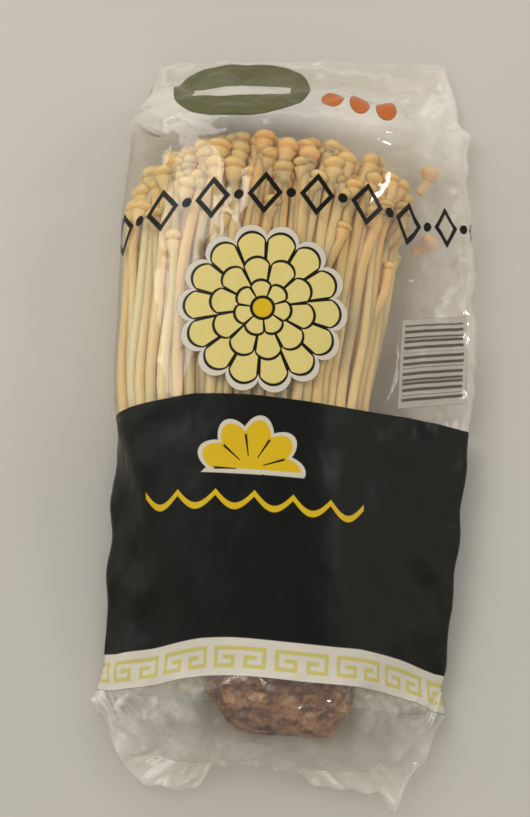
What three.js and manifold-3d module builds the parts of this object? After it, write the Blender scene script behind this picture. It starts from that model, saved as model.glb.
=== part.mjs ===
// A bunch of enoki mushrooms lying in its clear film bag, in millimetres.
// +Y runs from the roots to the caps, +Z is up, and the bag rests on z = 0.
// The origin is under the middle of the bag.

import * as THREE from 'three';
import { mergeVertices } from 'three/addons/utils/BufferGeometryUtils.js';
import Module from 'manifold-3d';

const wasm = await Module();
wasm.setup();

// Driving dimensions
const BAG_LENGTH = 200;
const BAG_HALF_WIDTH = 46;
const FILM = 0.6;
const TOUCHING_GAP = 0.3;
const EDGE_FOLD_RADIUS = 1.1;

const ROOT_Y = -62;
const BLOCK_END_Y = -82.5;
const CAPS_TOP_Y = 69.5;
const FLUTES_TOP_Y = 45;
const BUNCH_FLOOR_Z = 1.1;

const STEM_RADIUS = 1.4;
const FREE_STEM_RADIUS = 1.35;
const CAP_RADIUS = 2.75;
const SMALLEST_CAP = 0.86;
const LARGEST_CAP = 1.08;
const MUSHROOM_SIDES = 6;
const OUTER_MUSHROOMS = 42;
const INNER_MUSHROOMS = 36;
const SUNK_DEPTH = 3;
const SECTION_POWER = 2.3;

// How the heads stand: the caps' outline drops towards the sides of the bunch, the outer heads
// stand in three tiers, and each head leans and nods away from its stem over the bend's length.
const SIDE_DROP = 10;
const TIER_STEP = 4.7;
const TIER_SCATTER = 1.8;
const INNER_DROP = 5;
const INNER_SPREAD = 0.88;
const LEAN_LEFT = -1.2;
const LEAN_RIGHT = 2;
const LEAN_OUT = 0.8;
const NOD = 0.9;
const BEND_LENGTH = 16;

// A value between 0 and 1 that depends only on the number and the channel.
function draw(number, channel) {
  const wave = Math.sin(number * 12.9898 + channel * 78.233) * 43758.5453;
  return wave - Math.floor(wave);
}

function mix(from, to, share) {
  return from + (to - from) * share;
}

function ease(from, to, value) {
  const share = Math.min(1, Math.max(0, (value - from) / (to - from)));
  return share * share * (3 - 2 * share);
}

// A smooth curve through [place, value] knots that never swings past a knot.
function through(knots) {
  const last = knots.length - 1;
  const secants = [];
  for (let i = 0; i < last; i += 1) {
    secants.push((knots[i + 1][1] - knots[i][1]) / (knots[i + 1][0] - knots[i][0]));
  }
  const slopes = knots.map((knot, i) => {
    if (i === 0 || i === last || secants[i - 1] * secants[i] <= 0) {
      return 0;
    }
    return (2 * secants[i - 1] * secants[i]) / (secants[i - 1] + secants[i]);
  });
  return (place) => {
    if (place <= knots[0][0]) {
      return knots[0][1];
    }
    if (place >= knots[last][0]) {
      return knots[last][1];
    }
    let i = 0;
    while (place > knots[i + 1][0]) {
      i += 1;
    }
    const span = knots[i + 1][0] - knots[i][0];
    const t = (place - knots[i][0]) / span;
    const rise = t * t * (3 - 2 * t);
    const start = t * (1 - t) * (1 - t) * span * slopes[i];
    const end = t * t * (1 - t) * span * slopes[i + 1];
    return mix(knots[i][1], knots[i + 1][1], rise) + start - end;
  };
}

// The bunch's own form: its centre line, half width and half thickness along Y.
const bunchCentreX = through([
  [-84, 3], [-72, 1.5], [-62, 0.5], [-50, -2.5], [-30, -7.5], [-10, -11], [3, -11.8],
  [19, -10.8], [38, -9.8], [57, -8.3], [72, -8],
]);
const bunchHalfWidth = through([
  [-84, 12], [-80, 15.5], [-72, 20.5], [-62, 22.5], [-50, 24.5], [-30, 27.5], [-10, 30.5],
  [3, 31.8], [19, 33.2], [38, 34.2], [57, 34.5], [72, 34],
]);
const bunchHalfHeight = through([
  [-84, 6], [-80, 10], [-72, 12.5], [-62, 13.6], [-40, 14.4], [0, 14.8], [40, 14.6],
  [57, 14.2], [72, 13.8],
]);

function bunchCentreZ(y) {
  const capRoom = 1.8 * ease(22, 50, y);
  return BUNCH_FLOOR_Z + capRoom + bunchHalfHeight(y);
}

// A point on the rounded-box section of the bunch, at an angle round its centre line.
function sectionPoint(y, angle, inset) {
  const across = Math.cos(angle);
  const up = Math.sin(angle);
  const power = 2 / SECTION_POWER;
  const halfWidth = bunchHalfWidth(y) - inset;
  const halfHeight = bunchHalfHeight(y) - inset;
  return {
    x: bunchCentreX(y) + halfWidth * Math.sign(across) * Math.abs(across) ** power,
    z: bunchCentreZ(y) + halfHeight * Math.sign(up) * Math.abs(up) ** power,
  };
}

// Angles that stand evenly along the outline of the section rather than evenly round its centre.
function evenAngles(y, count) {
  const steps = 720;
  const lengths = [0];
  for (let i = 1; i <= steps; i += 1) {
    const here = sectionPoint(y, (i / steps) * 2 * Math.PI, STEM_RADIUS);
    const before = sectionPoint(y, ((i - 1) / steps) * 2 * Math.PI, STEM_RADIUS);
    lengths.push(lengths[i - 1] + Math.hypot(here.x - before.x, here.z - before.z));
  }
  const angles = [];
  let i = 0;
  for (let n = 0; n < count; n += 1) {
    const wanted = ((n + 0.5) / count) * lengths[steps];
    while (lengths[i + 1] < wanted) {
      i += 1;
    }
    const share = (wanted - lengths[i]) / (lengths[i + 1] - lengths[i]);
    angles.push(((i + share) / steps) * 2 * Math.PI);
  }
  return angles;
}

// A closed loft through rings of points that all have the same count, capped at both ends.
// The last cap comes to a point at the apex, where one is given.
function loftRings(rings, apex) {
  const count = rings[0].length;
  const points = rings.flat();
  for (const ring of [rings[0], rings[rings.length - 1]]) {
    const middle = new THREE.Vector3();
    ring.forEach((point) => middle.addScaledVector(point, 1 / count));
    points.push(middle);
  }
  const foot = points.length - 2;
  const head = points.length - 1;
  if (apex) {
    points[head] = apex;
  }
  const top = (rings.length - 1) * count;
  const index = [];
  for (let i = 0; i < count; i += 1) {
    const next = (i + 1) % count;
    for (let low = 0; low < top; low += count) {
      index.push(low + i, low + next, low + count + next);
      index.push(low + i, low + count + next, low + count + i);
    }
    index.push(foot, next, i);
    index.push(head, top + i, top + next);
  }
  return indexedGeometry(points, index);
}

// A closed ring-shaped loft, whose last ring joins its first.
function loftLoop(rings) {
  const count = rings[0].length;
  const index = [];
  rings.forEach((ring, j) => {
    const low = j * count;
    const high = ((j + 1) % rings.length) * count;
    for (let i = 0; i < count; i += 1) {
      const next = (i + 1) % count;
      index.push(low + i, low + next, high + next);
      index.push(low + i, high + next, high + i);
    }
  });
  return indexedGeometry(rings.flat(), index);
}

function indexedGeometry(points, index) {
  const positions = points.flatMap((point) => [point.x, point.y, point.z]);
  const geometry = new THREE.BufferGeometry();
  geometry.setAttribute('position', new THREE.Float32BufferAttribute(positions, 3));
  geometry.setIndex(index);
  return geometry;
}

// A ring of points across a direction, the first one turned by a phase.
function ringAcross(centre, direction, radius, sides, phase) {
  const sideways = new THREE.Vector3(0, 0, 1).cross(direction).normalize();
  const upright = new THREE.Vector3().crossVectors(direction, sideways).normalize();
  return Array.from({ length: sides }, (_, i) => {
    const angle = phase + (i / sides) * 2 * Math.PI;
    return centre.clone()
      .addScaledVector(sideways, radius * Math.cos(angle))
      .addScaledVector(upright, radius * Math.sin(angle));
  });
}

// A mushroom grown along a path, where path(d) is the point at a distance d below its top.
// Each row is [distance below the top, radius], from the foot of the stem over the cap.
function mushroomGeometry(path, length, stemRadius, capRadius, sides, phase) {
  const neck = 2.4;
  const rows = [
    [length, stemRadius],
    [mix(length, neck, 0.5), stemRadius * 0.94],
    [neck, stemRadius * 0.82],
    [2.8, capRadius * 0.82],
    [1.7, capRadius],
    [0.5, capRadius * 0.64],
  ];
  const rings = rows.map(([below, radius]) => {
    const direction = path(below - 0.5).sub(path(below + 0.5)).normalize();
    return ringAcross(path(below), direction, radius, sides, phase);
  });
  return loftRings(rings, path(0));
}

// Height of the arched outline that the tops of the caps make across the bunch.
function capLineY(x) {
  const arch = 2.4;
  const aside = (x - bunchCentreX(CAPS_TOP_Y)) / bunchHalfWidth(CAPS_TOP_Y);
  return CAPS_TOP_Y - SIDE_DROP * Math.abs(aside) ** arch;
}

// The line of one stem through the bunch, at an angle and a depth in its section.
// Its head leans over near the top, and more so towards the sides of the bunch.
function stemLine(number, angle, depth, topY) {
  const pastTop = 4;
  const lean = mix(LEAN_LEFT, LEAN_RIGHT, draw(number, 1)) + LEAN_OUT * Math.cos(angle);
  const nod = mix(-NOD, NOD, draw(number, 2));
  return (y) => {
    const rim = sectionPoint(y, angle, STEM_RADIUS);
    const bend = ease(topY - BEND_LENGTH, topY + pastTop, y) ** 2;
    return new THREE.Vector3(
      mix(rim.x, bunchCentreX(y), depth) + lean * bend,
      y,
      mix(rim.z, bunchCentreZ(y), depth) + nod * bend,
    );
  };
}

// The part of a mushroom that stands free, down to where it is sunk in the mass below.
function freeMushroom(number, angle, depth, topY, footY) {
  const line = stemLine(number, angle, depth, topY);
  const capRadius = CAP_RADIUS * mix(SMALLEST_CAP, LARGEST_CAP, draw(number, 4));
  const path = (below) => line(topY - below);
  const phase = draw(number, 6) * Math.PI;
  const length = topY - footY;
  return mushroomGeometry(path, length, FREE_STEM_RADIUS, capRadius, MUSHROOM_SIDES, phase);
}

// The mass of parallel stems below the heads. Each outer stem is a rounded flute of it.
// The flute's points are [share of the way to the next stem, depth in stem radii].
function stemsGeometry(angles) {
  const flute = [[0, 0], [0.3, 0.45], [0.5, 1.7], [0.7, 0.45]];
  const topRounding = 0.8;
  const stations = [ROOT_Y, -46, -28, -12, 2, 18, 36, FLUTES_TOP_Y];
  const across = angles.map((angle, i) => {
    const next = i + 1 < angles.length ? angles[i + 1] : angles[0] + 2 * Math.PI;
    return flute.map(([share, depth]) => [mix(angle, next, share), depth * STEM_RADIUS]);
  }).flat().reverse();
  const rings = stations.map((y) => across.map(([angle, inset]) => {
    const drawnIn = y === FLUTES_TOP_Y ? topRounding : 0;
    const point = sectionPoint(y, angle, inset + drawnIn);
    return new THREE.Vector3(point.x, y, point.z);
  }));
  return loftRings(rings);
}

function solid(geometry) {
  const bare = geometry.clone();
  bare.deleteAttribute('normal');
  bare.deleteAttribute('uv');
  const merged = mergeVertices(bare, 1e-4);
  return new wasm.Manifold(new wasm.Mesh({
    numProp: 3,
    vertProperties: merged.getAttribute('position').array,
    triVerts: new Uint32Array(merged.index.array),
  }));
}

function geometryOf(manifold) {
  const mesh = manifold.getMesh();
  const geometry = new THREE.BufferGeometry();
  geometry.setAttribute('position', new THREE.Float32BufferAttribute(mesh.vertProperties, 3));
  geometry.setIndex(Array.from(mesh.triVerts));
  const flat = geometry.toNonIndexed();
  flat.computeVertexNormals();
  return flat;
}

// All mushrooms of the bunch in one body, as they have grown together.
function clusterGeometry() {
  const evenAtY = 20;
  const goldenAngle = Math.PI * (3 - Math.sqrt(5));
  const angles = evenAngles(evenAtY, OUTER_MUSHROOMS);
  const sunkY = FLUTES_TOP_Y - SUNK_DEPTH;
  let cluster = solid(stemsGeometry(angles));
  angles.forEach((angle, i) => {
    const rim = sectionPoint(CAPS_TOP_Y, angle, STEM_RADIUS);
    const tier = TIER_STEP * (i % 3) + TIER_SCATTER * draw(i, 7);
    const mushroom = freeMushroom(i, angle, 0, capLineY(rim.x) - tier, sunkY);
    cluster = cluster.add(solid(mushroom));
  });
  for (let i = 0; i < INNER_MUSHROOMS; i += 1) {
    const number = OUTER_MUSHROOMS + i;
    const spread = INNER_SPREAD * Math.sqrt((i + 0.5) / INNER_MUSHROOMS);
    const angle = i * goldenAngle;
    const rim = sectionPoint(CAPS_TOP_Y, angle, STEM_RADIUS);
    const x = mix(bunchCentreX(CAPS_TOP_Y), rim.x, spread);
    const topY = capLineY(x) - INNER_DROP * draw(number, 7);
    const mushroom = freeMushroom(number, angle, 1 - spread, topY, sunkY);
    cluster = cluster.add(solid(mushroom));
  }
  return geometryOf(cluster);
}

// A soft lumpiness between -1 and 1, from a few crossed waves.
function lumps(x, y, z, size) {
  const a = Math.sin(x / size + 1.7 * Math.sin(z / (1.3 * size)));
  const b = Math.sin(y / (0.8 * size) + 1.3 * Math.sin(x / (0.9 * size)) + 2);
  const c = Math.sin(z / (0.9 * size) + 1.9 * Math.sin(y / size) + 4);
  return (a + b + c) / 3;
}

// The block of growing medium and root felt, torn and lumpy at its end.
function blockGeometry() {
  const sides = 30;
  const lumpSize = 1.9;
  const lumpHeight = 0.9;
  const raggedness = 0.8;
  const insetAtEnd = 1.2;
  const insetAtRoots = 0.4;
  const topY = ROOT_Y - TOUCHING_GAP;
  const stations = [BLOCK_END_Y, -81.4, -79.5, -77, -74.5, -72, -69.5, -67, -64.5, topY];
  const rings = stations.map((y) => Array.from({ length: sides }, (_, i) => {
    const angle = (-i / sides) * 2 * Math.PI;
    const inset = mix(insetAtEnd, insetAtRoots, ease(topY - 6, topY, y));
    const point = sectionPoint(y, angle, inset);
    const swell = lumpHeight * lumps(point.x, y, point.z, lumpSize) * ease(topY, topY - 3, y);
    const raised = y === BLOCK_END_Y ? 0 : swell;
    const pulled = y === topY ? 0 : raggedness * lumps(point.z, point.x, y, 1.2 * lumpSize);
    return new THREE.Vector3(
      point.x + raised * Math.cos(angle),
      y + pulled,
      point.z + raised * Math.sin(angle),
    );
  }));
  return loftRings(rings);
}

// The film bag: the folded edges of the sleeve, left and right, as places and heights along Y.
const leftEdgeX = through([
  [-100, -43], [-80, -42.8], [-70, -43.4], [-52, -43.8], [-2, -43.7], [25, -45],
  [48, -BAG_HALF_WIDTH], [66, -45.6], [74, -44.6], [86, -42], [100, -40.3],
]);
const rightEdgeX = through([
  [-100, 41], [-74, 41.4], [-65, 42.5], [-47, 43.8], [-2, BAG_HALF_WIDTH], [43, 45],
  [63, 43], [76, 41.5], [90, 37.5], [102, 35.4],
]);
const leftEdgeZ = through([
  [-100, 1.3], [-84, 1.6], [-70, 5], [-40, 9], [-10, 13], [55, 14.5], [72, 9], [84, 4], [94, 1.4],
]);
const rightEdgeZ = through([
  [-100, 1.3], [-84, 1.6], [-66, 5], [-30, 8], [30, 8], [60, 7], [80, 3.6], [96, 1.4],
]);

// The cut ends of the sleeve: straight at the head, torn into two lobes and a tip at the foot.
const headEndY = through([[-42, 95.5], [-20, 98], [0, 99], [20, 99.6], [37, BAG_LENGTH / 2]]);
const footEndY = through([
  [-43, -79], [-40, -86], [-34, -94], [-24, -98], [-18, -96], [-13, -90], [-2, -89.5],
  [8, -92], [18, -95.5], [27, -94.5], [31.7, -BAG_LENGTH / 2], [35, -92], [38.5, -84], [41.5, -74.5],
]);

// The filling that the film is stretched over, as the film's outer face meets it.
const fillingTopZ = through([
  [-100, 1.4], [-90, 2.2], [-87.5, 6], [-85.5, 13], [-83, 20.5], [-79, 26.5], [-72, 29.2],
  [-62, 30.6], [-40, 31.6], [0, 32.6], [40, 34], [58, 34.4], [70, 33], [76, 28], [84, 16],
  [92, 6.5], [98, 2.6],
]);
const fillingBottomZ = through([[-100, 0.9], [-86, -0.2], [-70, -0.9], [70, -0.9], [88, 0.9]]);
const fillingHalfWidth = through([
  [-100, 6], [-90, 11], [-84, 17], [-76, 22], [-62, 25], [-50, 26.6], [-30, 29.5], [-10, 32.4],
  [3, 33.7], [19, 35.2], [38, 36.6], [50, 38], [60, 38], [72, 37.4], [84, 31], [96, 24],
]);

// Where the film lies free it is creased. The folds die out where it is stretched.
function creases(x, y) {
  const footFold = 0.55;
  const headFold = 0.3;
  const atFoot = footFold * ease(-78, -90, y);
  const atHead = headFold * ease(76, 90, y);
  const crumple = Math.sin(x / 4.1 + y / 9) + 0.7 * Math.sin(y / 3.3 - x / 6.5 + 1);
  const ripple = Math.sin(x / 8 + y / 13);
  return atFoot * (1.7 + crumple) + atHead * (1.7 + ripple);
}

// The film's closed section at one place along Y: a band stretched round the filling and the
// two folded edges, as even points from the left edge over the top and back underneath.
function filmSection(y, segments) {
  const outline = [];
  const centreX = bunchCentreX(y);
  const topZ = fillingTopZ(y);
  const bottomZ = fillingBottomZ(y);
  const directions = 96;
  const power = 2 / SECTION_POWER;
  for (let i = 0; i < directions; i += 1) {
    const angle = Math.PI - (i / directions) * 2 * Math.PI;
    const across = Math.cos(angle);
    const up = Math.sin(angle);
    const candidates = [
      {
        x: leftEdgeX(y) + EDGE_FOLD_RADIUS * (1 + across),
        z: leftEdgeZ(y) + EDGE_FOLD_RADIUS * up,
      },
      {
        x: rightEdgeX(y) - EDGE_FOLD_RADIUS * (1 - across),
        z: rightEdgeZ(y) + EDGE_FOLD_RADIUS * up,
      },
    ];
    for (let k = 0; k < directions; k += 1) {
      const round = (k / directions) * 2 * Math.PI;
      const cos = Math.cos(round);
      const sin = Math.sin(round);
      candidates.push({
        x: centreX + fillingHalfWidth(y) * Math.sign(cos) * Math.abs(cos) ** power,
        z: Math.max(0, mix(bottomZ, topZ, (1 + Math.sign(sin) * Math.abs(sin) ** power) / 2)),
      });
    }
    const reach = (point) => point.x * across + point.z * up;
    outline.push(candidates.reduce((best, point) => (reach(point) > reach(best) ? point : best)));
  }
  const half = directions / 2;
  const upper = evenAlong(outline.slice(0, half + 1), segments);
  const lower = evenAlong([...outline.slice(half), outline[0]], segments);
  return [...upper.slice(0, -1), ...lower.slice(0, -1)];
}

// Points at even steps along a polyline, with both of its ends.
function evenAlong(points, segments) {
  const lengths = [0];
  for (let i = 1; i < points.length; i += 1) {
    const step = Math.hypot(points[i].x - points[i - 1].x, points[i].z - points[i - 1].z);
    lengths.push(lengths[i - 1] + step);
  }
  const total = lengths[lengths.length - 1];
  return Array.from({ length: segments + 1 }, (_, n) => {
    const wanted = (n / segments) * total;
    let i = 0;
    while (i < points.length - 2 && lengths[i + 1] < wanted) {
      i += 1;
    }
    const step = lengths[i + 1] - lengths[i];
    const share = step > 0 ? Math.min(1, (wanted - lengths[i]) / step) : 0;
    const [from, to] = [points[i], points[i + 1]];
    return { x: mix(from.x, to.x, share), z: mix(from.z, to.z, share) };
  });
}

// The sleeve of film, open only at its two flattened ends.
function bagGeometry() {
  const segments = 18;
  const headY = 98;
  const footY = -93;
  const stations = [
    footY, -90, -87.5, -85, -82.5, -79.5, -75, -69, -60, -48, -36, -24, -12, 0, 12, 24, 35, 45, 54,
    62, 69, 75, 81, 87, 93, headY,
  ];
  const outer = stations.map((station) => filmSection(station, segments).map((rough, i) => {
    const atFoot = ease(-64, footY, station) * (footEndY(rough.x) - footY);
    const atHead = ease(74, headY, station) * (headEndY(rough.x) - headY);
    const y = station + atFoot + atHead;
    const point = filmSection(y, segments)[i];
    return new THREE.Vector3(point.x, y, point.z + creases(point.x, y));
  }));
  const count = outer[0].length;
  const inner = outer.map((ring, j) => ring.map((point, i) => {
    const before = outer[Math.max(0, j - 1)][i];
    const after = outer[Math.min(outer.length - 1, j + 1)][i];
    const along = new THREE.Vector3().subVectors(after, before);
    const round = new THREE.Vector3().subVectors(ring[(i + 1) % count], ring[(i + count - 1) % count]);
    const outward = new THREE.Vector3().crossVectors(round, along).normalize();
    return point.clone().addScaledVector(outward, -FILM);
  }));
  return loftLoop([...outer, ...inner.reverse()]);
}

// A broken-off head with a short piece of its stem, lying in the empty side of the bag.
function looseHeadGeometry(top, direction, length, capRadius) {
  const sides = 10;
  const path = (below) => top.clone().addScaledVector(direction, -below);
  return mushroomGeometry(path, length, FREE_STEM_RADIUS, capRadius, sides, 0);
}

function material(colour, roughness, opacity = 1) {
  return new THREE.MeshStandardMaterial({
    color: colour,
    roughness,
    metalness: 0,
    opacity,
    transparent: opacity < 1,
  });
}

function named(name, geometry, surface) {
  const mesh = new THREE.Mesh(geometry, surface);
  mesh.name = name;
  return mesh;
}

const bunch = new THREE.Group();
bunch.add(named('enoki_cluster', clusterGeometry(), material(0xdcc79a, 0.5)));
bunch.add(named('growing_block', blockGeometry(), material(0x8a6142, 0.85)));

const looseHeads = new THREE.Group();
looseHeads.add(named(
  'loose_head_upper',
  looseHeadGeometry(
    new THREE.Vector3(33.4, 69, 7.9),
    new THREE.Vector3(0.35, 0.93, 0.1).normalize(),
    8,
    2.6,
  ),
  material(0xd9c48f, 0.5),
));
looseHeads.add(named(
  'loose_head_lower',
  looseHeadGeometry(
    new THREE.Vector3(35, 49, 8.7),
    new THREE.Vector3(0.75, 0.62, 0.12).normalize(),
    7,
    2.7,
  ),
  material(0xcfae78, 0.5),
));

const bag = new THREE.Group();
bag.add(named('film_bag', bagGeometry(), material(0xe6e2da, 0.12, 0.3)));

const enokiPack = new THREE.Group();
enokiPack.add(bunch, looseHeads, bag);

export default enokiPack;
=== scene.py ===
import math

import bpy
import numpy as np
from mathutils import Matrix, Vector, noise


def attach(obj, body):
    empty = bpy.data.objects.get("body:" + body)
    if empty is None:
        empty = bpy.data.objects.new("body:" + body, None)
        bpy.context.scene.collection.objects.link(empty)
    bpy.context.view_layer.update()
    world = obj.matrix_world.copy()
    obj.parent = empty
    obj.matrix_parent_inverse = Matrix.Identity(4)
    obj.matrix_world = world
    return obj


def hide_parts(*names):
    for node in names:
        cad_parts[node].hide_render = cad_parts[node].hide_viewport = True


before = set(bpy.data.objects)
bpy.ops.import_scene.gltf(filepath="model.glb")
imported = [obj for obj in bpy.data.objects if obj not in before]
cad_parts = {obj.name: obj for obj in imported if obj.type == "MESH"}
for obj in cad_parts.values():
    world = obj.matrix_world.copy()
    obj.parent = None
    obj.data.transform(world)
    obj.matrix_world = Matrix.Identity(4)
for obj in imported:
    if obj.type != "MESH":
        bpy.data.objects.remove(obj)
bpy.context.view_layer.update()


# Camera
# It looks down on the bag from above its foot, turned a little to the left, as a phone held over
# the table does.
MM = 0.001
camera_target = Vector((-6.5, -1.0, 14.0)) * MM
camera_distance = 560 * MM
camera_elevation = math.radians(76)
camera_turn = math.radians(3.5)
picture_height = 817
focal_length_in_pixels = 2196

heading = Vector((-math.sin(camera_turn), math.cos(camera_turn), 0))
rightwards = Vector((math.cos(camera_turn), math.sin(camera_turn), 0))
ahead = math.cos(camera_elevation) * heading + Vector((0, 0, -math.sin(camera_elevation)))
bpy.ops.object.select_all(action="DESELECT")
bpy.ops.object.camera_add(location=camera_target - camera_distance * ahead)
camera = bpy.context.object
camera.name = "camera"
camera.rotation_euler = Matrix((rightwards, rightwards.cross(ahead), -ahead)).transposed().to_euler()
camera.data.sensor_width = 36
camera.data.lens = camera.data.sensor_width * focal_length_in_pixels / picture_height
camera.data.clip_start = 10 * MM
bpy.context.scene.camera = camera


# Table and light
# A plain pale table top with a soft sheen, under one broad soft lamp on the upper left, softboxes on
# both sides and behind, and three small lamps that draw the glints on the film.
def calc(tree, operation, *values):
    """One math node. Each value is a number or another node's output."""
    node = tree.nodes.new("ShaderNodeMath")
    node.operation = operation
    for socket, value in zip(node.inputs, values):
        if isinstance(value, bpy.types.NodeSocket):
            tree.links.new(value, socket)
        else:
            socket.default_value = value
    return node.outputs[0]


def srgb(red, green, blue):
    """A linear colour from its 0 to 255 screen values."""
    shares = [value / 255 for value in (red, green, blue)]
    return (*(s / 12.92 if s < 0.04 else ((s + 0.055) / 1.055) ** 2.4 for s in shares), 1)


def new_material(name, roughness):
    material = bpy.data.materials.new(name)
    material.use_nodes = True
    shader = material.node_tree.nodes["Principled BSDF"]
    shader.inputs["Roughness"].default_value = roughness
    return material, material.node_tree, shader


def object_noise(tree, scale, detail, stretch=(1, 1, 1), roughness=0.5):
    """Soft noise on the piece's own coordinates, between 0 and 1. The scale is per metre."""
    place = tree.nodes.new("ShaderNodeTexCoord")
    mapping = tree.nodes.new("ShaderNodeMapping")
    mapping.inputs["Scale"].default_value = stretch
    texture = tree.nodes.new("ShaderNodeTexNoise")
    texture.inputs["Scale"].default_value = scale
    texture.inputs["Detail"].default_value = detail
    texture.inputs["Roughness"].default_value = roughness
    tree.links.new(place.outputs["Object"], mapping.inputs["Vector"])
    tree.links.new(mapping.outputs["Vector"], texture.inputs["Vector"])
    return texture.outputs["Fac"]


def colour_between(tree, share, stops):
    """A colour from a ramp with (place, colour) stops."""
    ramp = tree.nodes.new("ShaderNodeValToRGB")
    elements = ramp.color_ramp.elements
    while len(elements) < len(stops):
        elements.new(0.5)
    for element, (place, colour) in zip(elements, stops):
        element.position = place
        element.color = colour
    tree.links.new(share, ramp.inputs["Fac"])
    return ramp.outputs["Color"]


def bump(tree, shader, height, distance, strength=1.0):
    node = tree.nodes.new("ShaderNodeBump")
    node.inputs["Distance"].default_value = distance
    node.inputs["Strength"].default_value = strength
    tree.links.new(height, node.inputs["Height"])
    tree.links.new(node.outputs["Normal"], shader.inputs["Normal"])


table_size = 6
bpy.ops.mesh.primitive_plane_add(size=table_size)
table = bpy.context.object
table.name = "table_top"
table_material, tree, shader = new_material("pale_table", 0.5)
mottle = object_noise(tree, scale=9, detail=2)
table_colours = [(0.3, srgb(204, 200, 189)), (0.7, srgb(206, 203, 193))]
tree.links.new(colour_between(tree, mottle, table_colours), shader.inputs["Base Color"])
table.data.materials.append(table_material)

world = bpy.data.worlds.new("soft_room")
bpy.context.scene.world = world
world.use_nodes = True
world.node_tree.nodes["Background"].inputs["Color"].default_value = (1.0, 0.975, 0.94, 1)
world.node_tree.nodes["Background"].inputs["Strength"].default_value = 0.44

# Name, place, width and height in metres, power in watts and colour.
lamps = [
    ("big_soft_lamp", (-0.55, 0.4, 0.85), 0.5, 0.5, 2.7, (1.0, 0.97, 0.93)),
    ("left_softbox", (-1.0, 0.1, 0.45), 0.5, 1.0, 1.6, (1.0, 0.98, 0.95)),
    ("right_softbox", (1.0, 0.1, 0.4), 0.5, 1.0, 1.0, (1.0, 0.95, 0.87)),
    ("back_softbox", (0.0, 1.1, 0.55), 1.2, 0.6, 3.0, (1.0, 0.98, 0.95)),
    ("left_glint_lamp", (-0.2, 0.3, 0.8), 0.08, 0.12, 0.14, (1.0, 0.99, 0.97)),
    ("right_glint_lamp", (0.5, 0.25, 0.45), 0.04, 0.14, 0.35, (1.0, 0.99, 0.97)),
    ("front_glint_lamp", (0.15, -0.45, 0.9), 0.05, 0.09, 0.3, (1.0, 0.99, 0.97)),
]
for name, place, width, height, watts, colour in lamps:
    bpy.ops.object.light_add(type="AREA", location=place)
    lamp = bpy.context.object
    lamp.name = name
    lamp.data.shape = "RECTANGLE"
    lamp.data.size = width
    lamp.data.size_y = height
    lamp.data.energy = watts
    lamp.data.color = colour
    lamp.rotation_euler = (-Vector(place)).to_track_quat("-Z", "Y").to_euler()

bpy.context.scene.view_settings.view_transform = "Standard"
bpy.context.scene.cycles.max_bounces = 6
bpy.context.scene.cycles.diffuse_bounces = 3
bpy.context.scene.cycles.glossy_bounces = 2
bpy.context.scene.cycles.transparent_max_bounces = 24


# Bunch of mushrooms
# Slim cream stems grown close together from one root felt, each with a small round cap. They stand
# in rings inside the rounded section of the bunch, the outer ones in tiers below the topmost caps.
root_y = -62
caps_top_y = 69.5
bunch_floor_z = 1.1
stem_radius = 1.42
cap_radius = 3.05
section_power = 2.3
outline_steps = 721
cap_line_power = 2.4
side_drop = 12
master_sides = 10
stem_rings = 15
neck_width = 0.9
ring_spacing = 1.85
ring_count = 7
outer_rings = 2
outer_spacing = 2.0
inner_spacing = 3.0
spacing_y = 20
high_share = 0.8
high_drop = 11
low_drop = 28
second_drop = 14
inner_drop = 7
golden_share = 0.618034
film_clearance = 0.9
left_bend_lengths = (16, 38)
right_bend_lengths = (12, 22)
leans = (-3.6, 3.2)
right_leans = (3, 12)
nods = (-2.2, 2.2)
bows = (-2.6, 2.6)
sway = 0.55
sway_lengths = (9, 17)
line_points = 70


def draw(number, channel):
    """A value between 0 and 1 that depends only on the number and the channel, which keeps draws
    for different uses apart."""
    wave = np.sin(number * 12.9898 + channel * 78.233) * 43758.5453
    return wave - np.floor(wave)


def mix(start, end, share):
    return start + (end - start) * share


def ease(start, end, value):
    share = np.clip((value - start) / (end - start), 0, 1)
    return share * share * (3 - 2 * share)


def through(*knots):
    """A smooth curve through (place, value) knots that never swings past a knot."""
    places, values = np.array(knots, float).T
    secants = np.diff(values) / np.diff(places)
    slopes = np.zeros(len(places))
    steady = secants[:-1] * secants[1:] > 0
    products = secants[:-1] * secants[1:]
    slopes[1:-1][steady] = 2 * products[steady] / (secants[:-1] + secants[1:])[steady]

    def curve(place):
        place = np.clip(place, places[0], places[-1])
        i = np.clip(np.searchsorted(places, place, side="right") - 1, 0, len(places) - 2)
        span = places[i + 1] - places[i]
        t = (place - places[i]) / span
        start = t * (1 - t) ** 2 * span * slopes[i]
        end = t * t * (1 - t) * span * slopes[i + 1]
        return mix(values[i], values[i + 1], t * t * (3 - 2 * t)) + start - end

    return curve


bunch_centre_x = through(
    (-84, 3), (-72, 1.5), (-62, 0.5), (-50, -2.5), (-30, -7.5), (-10, -11), (3, -11.8),
    (19, -10.8), (38, -9.8), (57, -8.3), (72, -8),
)
bunch_half_width = through(
    (-84, 12), (-80, 15.5), (-72, 20.5), (-62, 22.5), (-50, 24.5), (-30, 27.5), (-10, 30.5),
    (3, 31.8), (19, 33.2), (38, 34.2), (57, 34.5), (72, 34),
)
bunch_half_height = through(
    (-84, 6), (-80, 10), (-72, 12.5), (-62, 13.6), (-40, 14.4), (0, 14.8), (40, 14.6),
    (57, 14.2), (72, 13.8),
)


def bunch_centre_z(y):
    return bunch_floor_z + 1.8 * ease(22, 50, y) + bunch_half_height(y)


def rounded(value):
    return np.sign(value) * np.abs(value) ** (2 / section_power)


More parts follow.
